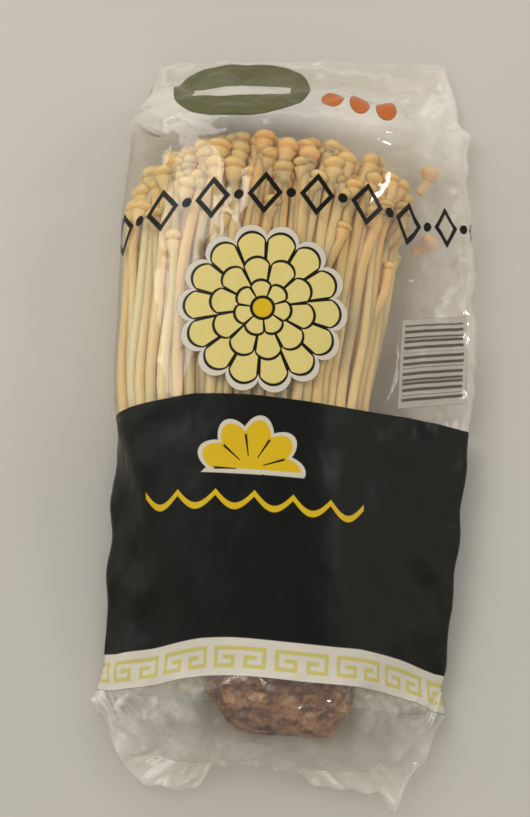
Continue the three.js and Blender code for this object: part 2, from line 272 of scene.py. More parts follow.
def section_point(y, angle, inset):
    """X and Z of a point on the rounded section of the bunch, at an angle round its centre line."""
    x = bunch_centre_x(y) + (bunch_half_width(y) - inset) * rounded(np.cos(angle))
    z = bunch_centre_z(y) + (bunch_half_height(y) - inset) * rounded(np.sin(angle))
    return x, z


def even_angles(y, inset, count, phase):
    """Angles that stand evenly along the outline of the section."""
    turn = np.linspace(0, 2 * np.pi, outline_steps)
    x, z = section_point(y, turn, inset)
    lengths = np.concatenate([[0], np.cumsum(np.hypot(np.diff(x), np.diff(z)))])
    return np.interp((np.arange(count) + phase) / count * lengths[-1], lengths, turn)


def section_length(y, inset):
    x, z = section_point(y, np.linspace(0, 2 * np.pi, outline_steps), inset)
    return np.hypot(np.diff(x), np.diff(z)).sum()


# The space inside the film that the caps may fill: its half width and height at a place along Y.
filling_half_width = through(
    (-100, 6), (-90, 11), (-84, 17), (-76, 22), (-62, 25), (-50, 26.6), (-30, 29.5), (-10, 32.4),
    (3, 33.7), (19, 35.2), (38, 36.6), (50, 38), (60, 38), (72, 37.4), (84, 31), (96, 24),
)
filling_top_z = through(
    (-100, 1.4), (-90, 2.2), (-87.5, 6), (-85.5, 13), (-83, 20.5), (-79, 26.5), (-72, 29.2),
    (-62, 30.6), (-40, 31.6), (0, 32.6), (40, 34), (58, 34.4), (70, 33), (76, 28), (84, 16),
    (92, 6.5), (98, 2.6),
)


# Height above the neck and radius of each row of the cap: its underside, rolled rim and dome.
cap_profile = [
    (0.3, 0.54), (0.55, 0.8), (0.9, 0.96), (1.35, 1.0), (1.85, 0.9), (2.3, 0.69), (2.6, 0.42),
    (2.72, 0.2),
]
cap_top = cap_profile[-1][0]


def model_mushroom():
    """One mushroom stood up: a stem of unit radius below z = 0, drawn up into a neck, a rolled rim
    and a domed cap of unit radius above it."""
    bpy.ops.object.select_all(action="DESELECT")
    bpy.ops.mesh.primitive_circle_add(
        vertices=master_sides, radius=1, fill_type="NGON", location=(0, 0, -1)
    )
    bpy.ops.object.transform_apply(location=True)
    piece = bpy.context.object
    piece.name = "mushroom_master"
    bpy.ops.object.mode_set(mode="EDIT")
    bpy.ops.mesh.select_all(action="SELECT")
    heights = [-((1 - i / stem_rings) ** 1.35) for i in range(1, stem_rings + 1)]
    profile = [(height, mix(1, neck_width, (1 + height) ** 2)) for height in heights]
    profile += cap_profile
    before_z, before_radius = -1, 1
    for height, radius in profile:
        rise = (0, 0, height - before_z)
        bpy.ops.mesh.extrude_region_move(TRANSFORM_OT_translate={"value": rise})
        share = radius / before_radius
        bpy.ops.transform.resize(value=(share, share, 1), center_override=(0, 0, height))
        before_z, before_radius = height, radius
    bpy.ops.mesh.merge(type="CENTER")
    bpy.ops.mesh.select_all(action="SELECT")
    bpy.ops.mesh.normals_make_consistent(inside=False)
    bpy.ops.object.mode_set(mode="OBJECT")
    bpy.ops.object.shade_smooth()
    return piece


def coordinates(mesh):
    flat = np.empty(len(mesh.vertices) * 3)
    mesh.vertices.foreach_get("co", flat)
    return flat.reshape(-1, 3)


def place_vertices(mesh, points):
    """Moves a mesh's vertices to points given in millimetres."""
    mesh.vertices.foreach_set("co", (np.asarray(points) * MM).ravel())
    mesh.update()


def point_attribute(mesh, name, values):
    attribute = mesh.attributes.new(name, "FLOAT", "POINT")
    attribute.data.foreach_set("value", np.asarray(values, np.float32))


def grow(master, shape, line, head_radius, foot_radius, cap_height, number):
    """A copy of the master whose stem follows a line of points, from its foot to its top."""
    neck = cap_top * cap_height
    lengths = np.concatenate([[0], np.cumsum(np.linalg.norm(np.diff(line, axis=0), axis=1))])
    cap = shape[:, 2] > 0
    stem_share = np.where(cap, shape[:, 2] * cap_height, shape[:, 2] * (lengths[-1] - neck))
    below = neck - stem_share
    at = lengths[-1] - below

    def on_line(distance):
        return np.stack([np.interp(distance, lengths, line[:, k]) for k in range(3)], axis=1)

    direction = on_line(at + 0.8) - on_line(at - 0.8)
    direction /= np.linalg.norm(direction, axis=1, keepdims=True)
    sideways = np.cross(np.array([0, 0, 1.0]), direction)
    sideways /= np.linalg.norm(sideways, axis=1, keepdims=True)
    upright = np.cross(direction, sideways)
    radius = np.where(cap, head_radius, foot_radius)[:, None]
    points = on_line(np.clip(at, 0, lengths[-1]))
    past = np.maximum(at - lengths[-1], 0)[:, None]
    points = points + direction * past
    turn = 2 * np.pi * draw(number, 6)
    across = shape[:, 0] * np.cos(turn) - shape[:, 1] * np.sin(turn)
    over = shape[:, 0] * np.sin(turn) + shape[:, 1] * np.cos(turn)
    points = points + sideways * (across[:, None] * radius) + upright * (over[:, None] * radius)
    copy = bpy.data.objects.new(f"mushroom_{number}", master.data.copy())
    bpy.context.collection.objects.link(copy)
    place_vertices(copy.data, points)
    point_attribute(copy.data, "below", below)
    point_attribute(copy.data, "tone", np.full(len(points), draw(number, 9)))
    return copy


def join_pieces(pieces, name):
    bpy.ops.object.select_all(action="DESELECT")
    for piece in pieces:
        piece.select_set(True)
    bpy.context.view_layer.objects.active = pieces[0]
    bpy.ops.object.join()
    joined = bpy.context.object
    joined.name = name
    joined.data.name = name
    return joined


def cap_line_y(x):
    aside = (x - bunch_centre_x(caps_top_y)) / bunch_half_width(caps_top_y)
    return caps_top_y - side_drop * np.abs(aside) ** cap_line_power


def stem_line(number, angle, inset, top_y, head_radius):
    """The points of one stem from its root to its top. It bows and sways a little, leans and nods
    near the top, more to the right on the right side, and is kept inside the film."""
    y = np.linspace(root_y - 1, top_y, line_points)
    x, z = section_point(y, angle, inset)
    right_side = ease(-14, 16, x[-1])
    left_length = mix(*left_bend_lengths, draw(number, 3))
    length = mix(left_length, mix(*right_bend_lengths, draw(number, 3)), right_side)
    bend = ease(top_y - length, top_y + 6, y) ** 1.5
    lean = mix(*leans, draw(number, 1)) + mix(0, mix(*right_leans, draw(number, 12)), right_side)
    nod = mix(*nods, draw(number, 2))
    swaying = sway * ease(root_y, root_y + 50, y)
    bow = np.sin(np.pi * np.clip((y - root_y) / (top_y - root_y), 0, 1) ** 1.3)
    bow = bow * mix(*bows, draw(number, 15))
    sway_x = np.sin(y / mix(*sway_lengths, draw(number, 10)) + 7 * draw(number, 11))
    sway_z = np.sin(y / mix(*sway_lengths, draw(number, 13)) + 7 * draw(number, 14))
    x = x + lean * bend + bow + swaying * sway_x
    z = z + nod * bend + swaying * sway_z
    near_top = ease(top_y - 7, top_y - 2, y)
    margin = film_clearance + mix(foot_radius_of(number), head_radius, near_top)
    half_width = filling_half_width(y) - margin
    half_height = filling_top_z(y) / 2 - margin
    middle_z = filling_top_z(y) / 2
    aside = (x - bunch_centre_x(y)) / half_width
    above = (z - middle_z) / half_height
    reach = (np.abs(aside) ** section_power + np.abs(above) ** section_power) ** (1 / section_power)
    pull = 1 / np.maximum(reach, 1)
    x = bunch_centre_x(y) + aside * half_width * pull
    z = middle_z + above * half_height * pull
    return np.stack([x, y, z], axis=1)


def foot_radius_of(number):
    return stem_radius * mix(0.8, 1.12, draw(number, 5))


master = model_mushroom()
master_shape = coordinates(master.data).copy()
mushrooms = []
number = 0
for ring in range(ring_count):
    inset = stem_radius + ring * ring_spacing
    spacing = outer_spacing if ring < outer_rings else inner_spacing
    count = int(section_length(spacing_y, inset) / spacing)
    for angle in even_angles(spacing_y, inset, count, 0.5 * (ring % 2)):
        rim_x, _ = section_point(caps_top_y, angle, inset)
        step = (0.15 * draw(number, 7) + number * golden_share) % 1
        if ring == 0 and step < high_share:
            drop = mix(0, high_drop, step / high_share)
        elif ring == 0:
            drop = mix(high_drop, low_drop, (step - high_share) / (1 - high_share))
        else:
            drop = (second_drop if ring == 1 else inner_drop) * step
        top_y = cap_line_y(rim_x) - drop
        small = mix(1.0, 0.74, ease(8, 24, drop))
        head_radius = cap_radius * small * mix(0.8, 1.12, draw(number, 4))
        line = stem_line(number, angle, inset, top_y, head_radius)
        cap_height = mix(1.15, 1.6, draw(number, 8)) * small
        foot_radius = foot_radius_of(number)
        mushroom = grow(master, master_shape, line, head_radius, foot_radius, cap_height, number)
        mushrooms.append(mushroom)
        number += 1
enoki = join_pieces(mushrooms, "enoki_mushrooms")

flesh, tree, shader = new_material("enoki_flesh", 0.42)
own_place = tree.nodes.new("ShaderNodeTexCoord")
position = tree.nodes.new("ShaderNodeSeparateXYZ")
tree.links.new(own_place.outputs["Object"], position.inputs["Vector"])
below = tree.nodes.new("ShaderNodeAttribute")
below.attribute_name = "below"
tone = tree.nodes.new("ShaderNodeAttribute")
tone.attribute_name = "tone"
coloured_length = 30.0
down_stem = calc(tree, "DIVIDE", below.outputs["Fac"], coloured_length)
grown = colour_between(tree, down_stem, [
    (0.0, srgb(255, 223, 158)),
    (0.06, srgb(250, 210, 142)),
    (0.12, srgb(249, 211, 148)),
    (0.5, srgb(245, 213, 152)),
    (1.0, srgb(248, 221, 166)),
])
# Painted shade: the flesh is multiplied towards a darker tan on the right side of the bunch, away from the
# lamp on the left.
right_shade_share = calc(tree, "MULTIPLY_ADD", position.outputs["X"], 1 / 0.06, 0.62)
right_shade_share = calc(tree, "MINIMUM", calc(tree, "MAXIMUM", right_shade_share, 0.0), 1.0)
shade = tree.nodes.new("ShaderNodeMix")
shade.data_type = "RGBA"
shade.blend_type = "MULTIPLY"
tree.links.new(calc(tree, "MULTIPLY", right_shade_share, 0.5), shade.inputs["Factor"])
tree.links.new(grown, shade.inputs["A"])
shade.inputs["B"].default_value = srgb(255, 232, 204)
streaks = object_noise(tree, scale=260, detail=3, stretch=(1, 0.12, 1))
half_tone = calc(tree, "MULTIPLY", tone.outputs["Fac"], 0.5)
mottling = calc(tree, "ADD", calc(tree, "MULTIPLY", streaks, 0.5), half_tone)
varied = tree.nodes.new("ShaderNodeMix")
varied.data_type = "RGBA"
varied.blend_type = "MULTIPLY"
varied.inputs["Factor"].default_value = 1.0
tree.links.new(shade.outputs["Result"], varied.inputs["A"])
mottle_colours = [(0.2, srgb(246, 224, 194)), (0.5, srgb(252, 245, 232)), (0.8, srgb(255, 255, 255))]
tree.links.new(colour_between(tree, mottling, mottle_colours), varied.inputs["B"])
tree.links.new(varied.outputs["Result"], shader.inputs["Base Color"])
shader.inputs["Subsurface Weight"].default_value = 0.6
shader.inputs["Subsurface Radius"].default_value = (1.0, 0.75, 0.45)
shader.inputs["Subsurface Scale"].default_value = 0.004
bump(tree, shader, streaks, distance=0.00025, strength=0.5)
enoki.data.materials.clear()
enoki.data.materials.append(flesh)
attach(enoki, "root")
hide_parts("enoki_cluster")


# Growing block
# The torn end of the brown medium that the bunch grew on: crumbs and chips felted together, with
# painted shade in the hollows between them and painted highlights on some rims.
block_end_y = -82.5
block_top_y = root_y - 0.3
block_rings = 90
block_sides = 150
crumb_size = 6.5
grit_size = 2.6
swell_size = 9
crumb_height, grit_height, swell_height = 1.7, 0.8, 0.9
settled = 0.95
end_shares = [0, 0.16, 0.88, 1]

bpy.ops.object.select_all(action="DESELECT")
bpy.ops.mesh.primitive_uv_sphere_add(segments=block_sides, ring_count=block_rings, radius=1)
block = bpy.context.object
block.name = "growing_block_crumbs"
ball = coordinates(block.data)
angle = np.arctan2(ball[:, 1], ball[:, 0])
polar = np.arccos(np.clip(ball[:, 2], -1, 1)) / np.pi
along = np.interp(polar, end_shares, [0, 0, 1, 1])
shrink = np.interp(polar, end_shares, [0, 1, 1, 0])
y = mix(block_top_y, block_end_y, along)
inset = mix(0.4, 1.2, ease(block_top_y, block_top_y - 6, y))
x, z = section_point(y, angle, inset)
x = bunch_centre_x(y) + (x - bunch_centre_x(y)) * shrink
z = bunch_centre_z(y) + (z - bunch_centre_z(y)) * shrink
loose = ease(block_top_y, block_top_y - 3, y)
raised = []
hollow_shade = []
for vx, vy, vz in zip(x, y, z):
    where = Vector((vx, vy, vz))
    near, _ = noise.voronoi(where / crumb_size)
    crumb_and_shade = near[1] - near[0]
    near_small, _ = noise.voronoi(where / grit_size + Vector((7, 3, 5)))
    grit = near_small[1] - near_small[0]
    swell = noise.fractal(where / swell_size, 1.0, 2.0, 3)
    height = crumb_height * min(crumb_and_shade, 0.55) + grit_height * min(grit, 0.5) + swell_height * swell
    raised.append(height - settled)
    # Painted shade: this share is low in the sunk hollows between crumbs and grit and high on their tops.
    hollow_shade.append(min(crumb_and_shade, 0.6) / 0.6 * 0.65 + min(grit, 0.5) * 0.7)
raised = np.array(raised) * loose
out_x = np.cos(angle) * shrink
out_z = np.sin(angle) * shrink
out_y = -(1 - shrink) * (polar > 0.5)
points = np.stack([x + raised * out_x, y + raised * out_y, z + raised * out_z], axis=1)
place_vertices(block.data, points)
point_attribute(block.data, "crumb_and_shade", hollow_shade)
bpy.ops.object.mode_set(mode="EDIT")
bpy.ops.mesh.select_all(action="SELECT")
bpy.ops.mesh.normals_make_consistent(inside=False)
bpy.ops.object.mode_set(mode="OBJECT")
bpy.ops.object.shade_smooth()

chip_scale = 330
medium, tree, shader = new_material("growing_medium", 0.7)
crumb_and_shade = tree.nodes.new("ShaderNodeAttribute")
crumb_and_shade.attribute_name = "crumb_and_shade"
patches = object_noise(tree, scale=150, detail=4, roughness=0.65)
fine = object_noise(tree, scale=900, detail=4)
chip_place = tree.nodes.new("ShaderNodeTexCoord")
chip_warp = tree.nodes.new("ShaderNodeTexNoise")
chip_warp.inputs["Scale"].default_value = 260
chip_warp.inputs["Detail"].default_value = 3
tree.links.new(chip_place.outputs["Object"], chip_warp.inputs["Vector"])
warped = tree.nodes.new("ShaderNodeVectorMath")
warped.operation = "MULTIPLY_ADD"
tree.links.new(chip_warp.outputs["Color"], warped.inputs[0])
warped.inputs[1].default_value = (0.009, 0.009, 0.009)
tree.links.new(chip_place.outputs["Object"], warped.inputs[2])
chips = tree.nodes.new("ShaderNodeTexVoronoi")
chips.inputs["Scale"].default_value = chip_scale
tree.links.new(warped.outputs["Vector"], chips.inputs["Vector"])
chip_tone = tree.nodes.new("ShaderNodeSeparateColor")
tree.links.new(chips.outputs["Color"], chip_tone.inputs["Color"])
gaps = tree.nodes.new("ShaderNodeTexVoronoi")
gaps.feature = "DISTANCE_TO_EDGE"
gaps.inputs["Scale"].default_value = chip_scale
tree.links.new(warped.outputs["Vector"], gaps.inputs["Vector"])
gap = calc(tree, "MINIMUM", calc(tree, "MULTIPLY", gaps.outputs["Distance"], 9.0), 1.0)
# Painted shade and highlights from the crumb hollows and tops, mixed with random patches, fine noise and
# chip tones of the medium's own colour.
blend = calc(tree, "MULTIPLY", crumb_and_shade.outputs["Fac"], 0.3)
for share, weight in ((patches, 0.3), (fine, 0.2), (chip_tone.outputs["Red"], 0.28)):
    blend = calc(tree, "ADD", blend, calc(tree, "MULTIPLY", share, weight))
blend = calc(tree, "MULTIPLY", blend, calc(tree, "MULTIPLY_ADD", gap, 0.14, 0.86))
# The darkest stops fall in the hollows as painted shade; the palest are partly painted highlights.
tree.links.new(
    colour_between(tree, blend, [
        (0.26, srgb(58, 36, 22)),
        (0.4, srgb(120, 79, 50)),
        (0.52, srgb(168, 119, 80)),
        (0.64, srgb(190, 144, 100)),
        (0.78, srgb(236, 208, 164)),
    ]),
    shader.inputs["Base Color"],
)
bump(tree, shader, fine, distance=0.0006, strength=0.8)
block.data.materials.append(medium)
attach(block, "root")
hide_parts("growing_block")


# Loose heads
# Two heads broken off their stems, lying against the film in the empty right side of the bag.
loose_points = 12
loose_stem_radius = 1.2
loose_cap_height = 1.3
loose_numbers_from = 900
# Name, place of the top, direction, length of the stem and radius of the cap.
loose_heads = [
    ("loose_head_upper", (33.4, 69, 7.9), (0.35, 0.93, 0.1), 8, 2.6),
    ("loose_head_lower", (35, 49, 8.7), (0.75, 0.62, 0.12), 7, 2.7),
]
for index, (node, top, direction, length, radius) in enumerate(loose_heads):
    step = np.array(direction) / np.linalg.norm(direction)
    distances = np.linspace(-length, 0, loose_points)[:, None]
    bow = np.array([0.5, 0, 0.2]) * np.sin(np.linspace(0, np.pi, loose_points))[:, None]
    line = np.array(top) + step * distances + bow
    number = loose_numbers_from + index
    head = grow(master, master_shape, line, radius, loose_stem_radius, loose_cap_height, number)
    head.name = node + "_fine"
    head.data.materials.clear()
    head.data.materials.append(flesh)
    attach(head, "root")
    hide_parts(node)
bpy.data.objects.remove(master)


# Film bag
# One sleeve of thin clear film, printed, sealed flat at the head and left crumpled at the foot. It
# is stretched over the bunch and the block, and lies in free folds where it is empty.
film_thickness = 0.12
edge_fold_radius = 1.1
section_directions = 192
columns = 104
rows = 206
head_y = 98
foot_y = -93
print_middle_x = -4
least_z = 0.13
ridge_bend = 0.35
merge_distance = 0.00002

left_edge_x = through(
    (-100, -43), (-80, -42.8), (-70, -43.4), (-52, -43.8), (-2, -43.7), (25, -45),
    (48, -46), (66, -45.6), (74, -44.6), (86, -42), (100, -40.3),
)
right_edge_x = through(
    (-100, 41), (-74, 41.4), (-65, 42.5), (-47, 43.8), (-2, 46), (43, 45),
    (63, 43), (76, 41.5), (90, 37.5), (102, 35.4),
)
left_edge_z = through(
    (-100, 1.3), (-84, 1.6), (-70, 5), (-40, 9), (-10, 13), (55, 14.5), (72, 9), (84, 4), (94, 1.4),
)
right_edge_z = through(
    (-100, 1.3), (-84, 1.6), (-66, 5), (-30, 8), (30, 8), (60, 7), (80, 3.6), (96, 1.4),
)
head_end_y = through((-42, 95.5), (-20, 98), (0, 99), (20, 99.6), (37, 100))
foot_end_y = through(
    (-43, -79), (-40, -86), (-34, -94), (-24, -98), (-18, -96), (-13, -90), (-2, -89.5),
    (8, -92), (18, -95.5), (27, -94.5), (31.7, -100), (35, -92), (38.5, -84), (41.5, -74.5),
)
filling_bottom_z = through((-100, 0.9), (-86, -0.2), (-70, -0.9), (70, -0.9), (88, 0.9))


def film_section(y):
    """The film's closed section at one place along Y: a band stretched round the filling and both
    folded edges, as even points from the left edge over the top and back underneath."""
    round_angles = np.arange(section_directions) / section_directions * 2 * np.pi
    across, up = np.cos(np.pi - round_angles), np.sin(np.pi - round_angles)
    fill_x = bunch_centre_x(y) + filling_half_width(y) * rounded(np.cos(round_angles))
    share = (1 + rounded(np.sin(round_angles))) / 2
    fill_z = np.maximum(0, mix(filling_bottom_z(y), filling_top_z(y), share))
    best_fill = np.argmax(np.outer(across, fill_x) + np.outer(up, fill_z), axis=1)
    candidates = np.array([
        [left_edge_x(y) + edge_fold_radius * (1 + across), left_edge_z(y) + edge_fold_radius * up],
        [right_edge_x(y) - edge_fold_radius * (1 - across), right_edge_z(y) + edge_fold_radius * up],
        [fill_x[best_fill], fill_z[best_fill]],
    ])
    reach = candidates[:, 0] * across + candidates[:, 1] * up
    chosen = np.argmax(reach, axis=0)
    outline = candidates[chosen, :, np.arange(section_directions)]
    half = section_directions // 2
    upper = even_along(outline[: half + 1])
    lower = even_along(np.vstack([outline[half:], outline[:1]]))
    return np.vstack([upper[:-1], lower])


def even_along(points):
    steps = np.hypot(*np.diff(points, axis=0).T)
    lengths = np.concatenate([[0], np.cumsum(steps)])
    wanted = np.linspace(0, lengths[-1], columns + 1)
    return np.stack([np.interp(wanted, lengths, points[:, k]) for k in range(2)], axis=1)


def fold_wave(across, along, direction, length, phase):
    """A wave of flat facets with sharp ridges, between -1 and 1."""
    place = (across * math.cos(direction) + along * math.sin(direction)) / length + phase
    return 4 * np.abs(place - np.floor(place) - 0.5) - 1


def fold_waves(across, along, size, seed, count):
    """Facet waves in several directions, bent so that no ridge runs straight."""
    bent_across = across + ridge_bend * size * np.sin(along / size * 1.1 + seed)
    bent_along = along + ridge_bend * size * np.sin(across / size * 0.9 + 2 * seed)
    waves = []
    for k in range(count):
        direction = np.pi * (k + draw(seed + k, 21)) / count
        length = size * mix(0.7, 1.9, draw(seed + k, 22))
        waves.append(fold_wave(bent_across, bent_along, direction, length, draw(seed + k, 23)))
    return waves


def crumple(across, along, size, seed, count):
    """The height of crumpled film, about -1 to 1."""
    return sum(fold_waves(across, along, size, seed, count)) / count ** 0.7


def facet_tones(across, along, size, seed, count=4):
    """A value between 0 and 1 for each facet of crumpled film, even within the facet."""
    code = 0
    for k, wave in enumerate(fold_waves(across, along, size, seed, count)):
        code = code + (wave > 0) * (k + 1) * 1.37
    return draw(code + seed, 31)


bpy.ops.object.select_all(action="DESELECT")
bpy.ops.mesh.primitive_grid_add(x_subdivisions=2 * columns, y_subdivisions=rows, size=2)
film = bpy.context.object
film.name = "film_sleeve"
flat = coordinates(film.data)
column = np.rint((flat[:, 0] + 1) / 2 * 2 * columns).astype(int)
row = np.rint((flat[:, 1] + 1) / 2 * rows).astype(int)

# Rows stand closer at the foot and the head, where the film is crumpled.
spread = np.linspace(0, 1, rows + 1)
stations = np.interp(spread, [0, 0.26, 0.84, 1], [foot_y, -62, 66, head_y])
table_y = np.linspace(-101, 101, 405)
sections = np.array([film_section(y) for y in table_y])


def section_at(y, i):
    """X and Z of column i of the section at y, between the nearest worked-out sections."""
    place = np.clip((y - table_y[0]) / (table_y[1] - table_y[0]), 0, len(table_y) - 1.001)
    low = place.astype(int)
    share = (place - low)[..., None]
    return mix(sections[low, i], sections[low + 1, i], share)


station_grid, column_grid = np.meshgrid(stations, np.arange(2 * columns + 1), indexing="ij")
rough = section_at(station_grid, column_grid)
ragged = 0.7 * np.sin(rough[..., 0] / 2.3) + 0.4 * np.sin(rough[..., 0] / 1.1 + 1)
at_foot = ease(-64, foot_y, station_grid) * (foot_end_y(rough[..., 0]) - foot_y)
at_foot += ease(-86, foot_y, station_grid) * ragged
at_head = ease(74, head_y, station_grid) * (head_end_y(rough[..., 0]) - head_y)
grid_y = station_grid + at_foot + at_head
section = section_at(grid_y, column_grid)
sleeve = np.stack([section[..., 0], grid_y, section[..., 1]], axis=-1)

# How far round the sleeve a point lies, in millimetres. On one line of the front it equals X.
steps_round = np.linalg.norm(np.diff(sleeve, axis=1), axis=2)
round_length = np.concatenate([np.zeros((rows + 1, 1)), np.cumsum(steps_round, axis=1)], axis=1)
front_x = sleeve[:, : columns + 1, 0]
middle_at = np.array([
    np.interp(print_middle_x, front_x[j], round_length[j, : columns + 1]) for j in range(rows + 1)
])
print_u = round_length - middle_at[:, None] + print_middle_x

# How far along the film a point lies from the middle row, over the film's own slopes.
steps_along = np.linalg.norm(np.diff(sleeve, axis=0), axis=2)
print_along = np.concatenate([np.zeros((1, 2 * columns + 1)), np.cumsum(steps_along, axis=0)], axis=0)
print_along = print_along - print_along[rows // 2]

along_rows = np.gradient(sleeve, axis=0)
round_columns = np.gradient(sleeve, axis=1)
outward = np.cross(round_columns, along_rows)
outward /= np.linalg.norm(outward, axis=2, keepdims=True)
if outward[rows // 2, columns // 2, 2] < 0:
    outward = -outward

# Zones of the film, each between the places where it begins and where it is full.
x_grid = sleeve[..., 0]
z_grid = sleeve[..., 2]
upper_side = ease(0.25, 1.2, z_grid)
foot_zone = ease(-67, -77, grid_y)
slope_zone = ease(65, 72, grid_y) * (1 - ease(84, 92, grid_y))
head_zone = ease(66, 78, grid_y)
right_zone = ease(27, 33, x_grid) * ease(-20, 10, grid_y)
band_zone = ease(6, -8, grid_y) * (1 - foot_zone)
low_band_zone = ease(-34, -56, grid_y) * (1 - foot_zone)
edge_zone = ease(37, 43, x_grid) * ease(0, 12, grid_y) * ease(72, 64, grid_y)
side_zone = np.clip(ease(14, 36, x_grid) + ease(-26, -42, x_grid), 0, 1)

# Where each set of creases lies with its height, its lift, its squash along the bag, its facet size,
# its seed and its number of directions.
crease_sets = [
    (1.5 * foot_zone, 1.0, 1.0, 16.0, 3, 4),
    (0.7 * foot_zone, 0.8, 1.0, 7.5, 11, 4),
    (0.12 * foot_zone, 0.8, 1.0, 3.8, 13, 3),
    (1.0 * head_zone + 0.6 * slope_zone, 1.0, 0.7, 12.0, 29, 6),
    (0.35 * head_zone, 0.8, 0.6, 5.0, 31, 6),
    (0.7 * right_zone, 0.6, 0.4, 8.0, 41, 6),
    (0.25 * right_zone, 0.6, 0.5, 3.5, 43, 6),
    (0.8 * edge_zone, 0.6, 0.7, 6.0, 47, 4),
    (band_zone * mix(0.12, 0.7, side_zone), 0.0, 1.0, 14.0, 53, 6),
    (low_band_zone * mix(0.3, 0.6, side_zone), 0.0, 0.8, 17.0, 59, 4),
    (0.14, 0.0, 0.6, 9.0, 67, 6),
]
creases = np.zeros_like(x_grid)
for zone, lift, squash, size, seed, count in crease_sets:
    creases += zone * (lift + crumple(print_u, squash * print_along, size, seed, count))
creases *= upper_side
beside = np.pad(creases, 1, mode="edge")
beside = beside[:-2, 1:-1] + beside[2:, 1:-1] + beside[1:-1, :-2] + beside[1:-1, 2:]
creases = mix(creases, beside / 4, 0.5)
bend = np.zeros_like(creases)
for axis in (0, 1):
    spacing = np.linalg.norm(np.gradient(sleeve, axis=axis), axis=2)
    slope = np.gradient(creases, axis=axis) / np.maximum(spacing, 0.2)
    bend += np.abs(np.gradient(slope, axis=axis)) / np.maximum(spacing, 0.2)
sleeve = sleeve + outward * (creases - 0.15)[..., None]
sleeve[..., 2] = np.maximum(sleeve[..., 2], least_z)
sleeve[:, -1] = sleeve[:, 0]

place_vertices(film.data, sleeve[row, column])

# The print's own map: U runs round the sleeve and V along it, in millimetres, with its seam at the
# middle of the back.
print_map = film.data.uv_layers.active
print_map.name = "print"
corner_vertex = np.empty(len(film.data.loops), int)
film.data.loops.foreach_get("vertex_index", corner_vertex)
face_of_corner = np.repeat(np.arange(len(film.data.polygons)), 4)
corner_column = column[corner_vertex]
face_column = np.minimum.reduceat(corner_column, np.arange(0, len(corner_column), 4))[face_of_corner]
whole_round = round_length[:, -1]
corner_u = print_u[row[corner_vertex], corner_column]
past_seam = face_column >= columns + columns // 2
corner_u = np.where(past_seam, corner_u - whole_round[row[corner_vertex]], corner_u)
corner_v = sleeve[row[corner_vertex], corner_column, 1]
print_map.data.foreach_set("uv", np.stack([corner_u, corner_v], axis=1).astype(np.float32).ravel())
front_share = np.where(column_grid <= columns, 1.0, 0.0)
point_attribute(film.data, "front", front_share[row, column])
over_block = ease(-86, -82, grid_y) * ease(21, 16, np.abs(x_grid - 1.5))
# Painted light on the film: the foot, the head and the empty right side are whitened by a different amount
# on each crumpled facet. This is partly the film's own milkiness and partly painted light and shade for
# facets that catch the lamps. The slope above the caps is whitened as painted light over the shade behind
# the bunch.
facet_shade = 0.5 * facet_tones(print_u, print_along, 16.0, 3)
facet_shade += 0.5 * facet_tones(print_u, print_along, 8.0, 83)
haze_and_light = foot_zone * (0.2 + 1.7 * facet_shade) * (1 - 0.95 * over_block)
haze_and_light += head_zone * (0.3 + 0.4 * facet_shade) + 0.6 * right_zone * (0.3 + 1.4 * facet_shade)
haze_and_light += slope_zone * (1.3 + 0.5 * facet_shade)
point_attribute(film.data, "slack_and_highlight", haze_and_light[row, column])
# Painted highlights: sharp creases and the two folded edges of the sleeve are whitened.
fold_highlight = np.exp(-((column_grid - columns) / 1.3) ** 2) + np.exp(-(column_grid / 1.3) ** 2)
crease_highlight_share = np.clip((bend - 0.4) / 0.9, 0, 1) * (1 - 0.6 * over_block) + 0.4 * fold_highlight
point_attribute(film.data, "crease_highlight", np.clip(crease_highlight_share, 0, 1)[row, column])

bpy.ops.object.mode_set(mode="EDIT")
bpy.ops.mesh.select_all(action="SELECT")
bpy.ops.mesh.remove_doubles(threshold=merge_distance)
bpy.ops.object.mode_set(mode="OBJECT")
bpy.ops.object.shade_smooth()
wall = film.modifiers.new("wall", "SOLIDIFY")
wall.thickness = film_thickness * MM
wall.offset = -1
wall.material_offset = 1
bpy.ops.object.modifier_apply(modifier="wall")


# Print on the film
# A black band, a white border with a key pattern, a petal medallion, a half rosette, a scalloped line,
# a row of lozenges and dots, bars and a header, all in thin ink on the outside of the clear film.
ink_softness = 0.22
film_material, tree, shader = new_material("printed_clear_film", 0.3)
shader.inputs["Specular IOR Level"].default_value = 0.18
nodes, links = tree.nodes, tree.links
print_place = nodes.new("ShaderNodeUVMap")
print_place.uv_map = "print"
split = nodes.new("ShaderNodeSeparateXYZ")
links.new(print_place.outputs["UV"], split.inputs["Vector"])
u, v = split.outputs["X"], split.outputs["Y"]


def film_attribute(name):
    node = nodes.new("ShaderNodeAttribute")
    node.attribute_name = name
    return node.outputs["Fac"]


def maths(operation):
    """A function that makes one kind of math node in the film's material."""
    return lambda *values: calc(tree, operation, *values)


add, less, times, divide = maths("ADD"), maths("SUBTRACT"), maths("MULTIPLY"), maths("DIVIDE")
larger, smaller, size_of = maths("MAXIMUM"), maths("MINIMUM"), maths("ABSOLUTE")
scaled, power, root = maths("MULTIPLY_ADD"), maths("POWER"), maths("SQRT")
sine, cosine, angle_of, remainder = maths("SINE"), maths("COSINE"), maths("ARCTAN2"), maths("FLOORED_MODULO")
on_front = calc(tree, "GREATER_THAN", film_attribute("front"), 0.5)


def inked(distance):
    """1 where a distance in millimetres to a motif's edge is below 0, and 0 outside."""
    share = scaled(distance, -1 / ink_softness, 0.5)
    share.node.use_clamp = True
    return share


def beyond(value, middle, half):
    """How far a value lies outside a strip about its middle, below 0 inside it."""
    return less(size_of(less(value, middle)), half)


